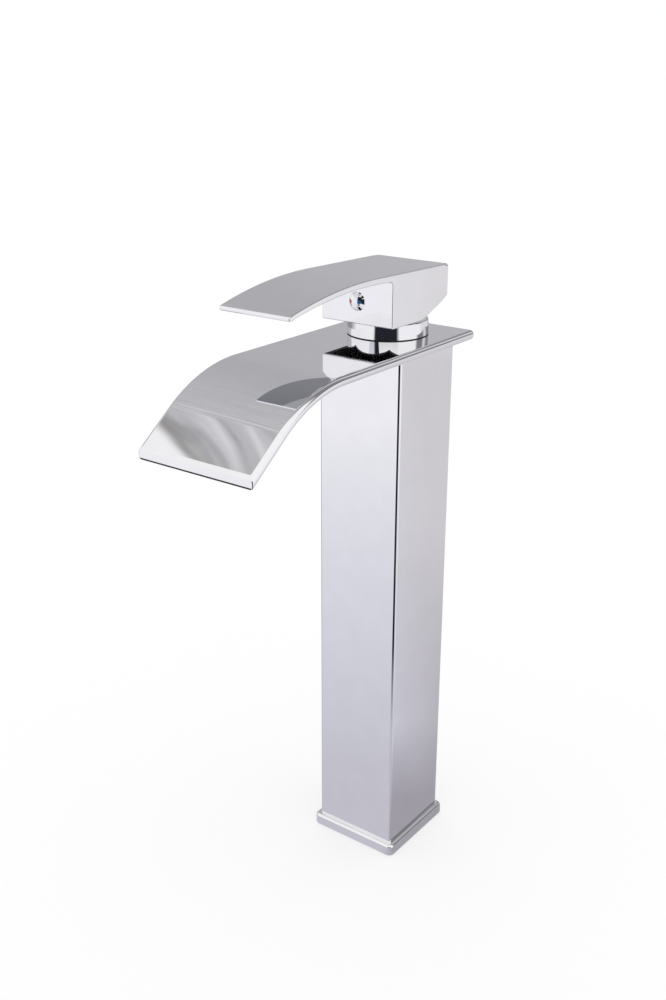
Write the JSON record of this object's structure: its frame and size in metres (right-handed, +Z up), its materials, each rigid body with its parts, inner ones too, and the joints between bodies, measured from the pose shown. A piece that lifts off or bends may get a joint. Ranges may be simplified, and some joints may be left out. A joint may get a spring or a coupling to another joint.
{
  "type": "basin mixer",
  "caption": "Tall single-lever basin mixer: square column, wide waterfall spout plate curving down, round collar, and a flat lever that tilts for flow and swings for temperature.",
  "frame": {"origin": "on the column's axis at the deck, at the mouth of the fixing stud's thread", "axes": "+Z up along the column, -Y towards the spout's lip, +X to the cold side"},
  "size_m": [0.0606, 0.1612, 0.3019],
  "materials": {
    "chromed_brass": "polished chromium plate on brass",
    "chromed_zinc": "polished chromium plate on die-cast zinc",
    "bare_brass": "machined brass",
    "copper_tube": "drawn copper tube",
    "black_rubber": "moulded nitrile rubber",
    "moulded_acetal": "injection-moulded acetal",
    "ceramic": "lapped alumina",
    "stainless_steel": "turned stainless steel",
    "red_enamel": "filled enamel dot",
    "blue_enamel": "filled enamel dot"
  },
  "bodies": {
    "tap_body": {"base_flange": "chromed_brass", "base_gasket": "black_rubber", "base_screws": "stainless_steel", "column_tube": "chromed_brass", "inlet_block": "bare_brass", "hot_riser_tube": "copper_tube", "cold_riser_tube": "copper_tube", "riser_seals": "black_rubber", "valve_block": "bare_brass", "passage_plugs": "bare_brass", "spout_gasket": "black_rubber", "spout_plate": "chromed_brass", "spout_channel_cover": "chromed_brass", "flow_straightener": "moulded_acetal", "collar": "chromed_brass", "collar_gasket": "black_rubber", "retaining_nut": "bare_brass", "cartridge_base": "moulded_acetal", "cartridge_port_seals": "black_rubber", "cartridge_housing": "moulded_acetal", "fixed_ceramic_disc": "ceramic"},
    "swivel_carrier": {"cartridge_rotor": "moulded_acetal", "rotor_seal": "black_rubber", "pivot_pin": "stainless_steel"},
    "valve_slide": {"moving_ceramic_disc": "ceramic", "disc_driver": "moulded_acetal"},
    "lever": {"handle": "chromed_zinc", "lever_stem": "stainless_steel", "grub_screw": "stainless_steel", "index_plug": "chromed_zinc", "index_dot_hot": "red_enamel", "index_dot_cold": "blue_enamel"}
  },
  "joints": [
    {"name": "temperature_swivel", "type": "hinge", "parent": "tap_body", "child": "swivel_carrier", "pos_m": [0, 0, 0.2714], "axis": [0, 0, 1], "range_deg": [-45, 45]},
    {"name": "flow_tilt", "type": "hinge", "parent": "swivel_carrier", "child": "lever", "pos_m": [0, 0, 0.2714], "axis": [-1, 0, 0], "range_deg": [0, 20]},
    {"name": "disc_slide", "type": "slide", "parent": "swivel_carrier", "child": "valve_slide", "axis": [0, -1, 0], "range_m": [0, 0.0037]}
  ],
  "couplings": [
    {"joint": "disc_slide", "follows": "flow_tilt", "m_per_rad": 0.0104}
  ]
}
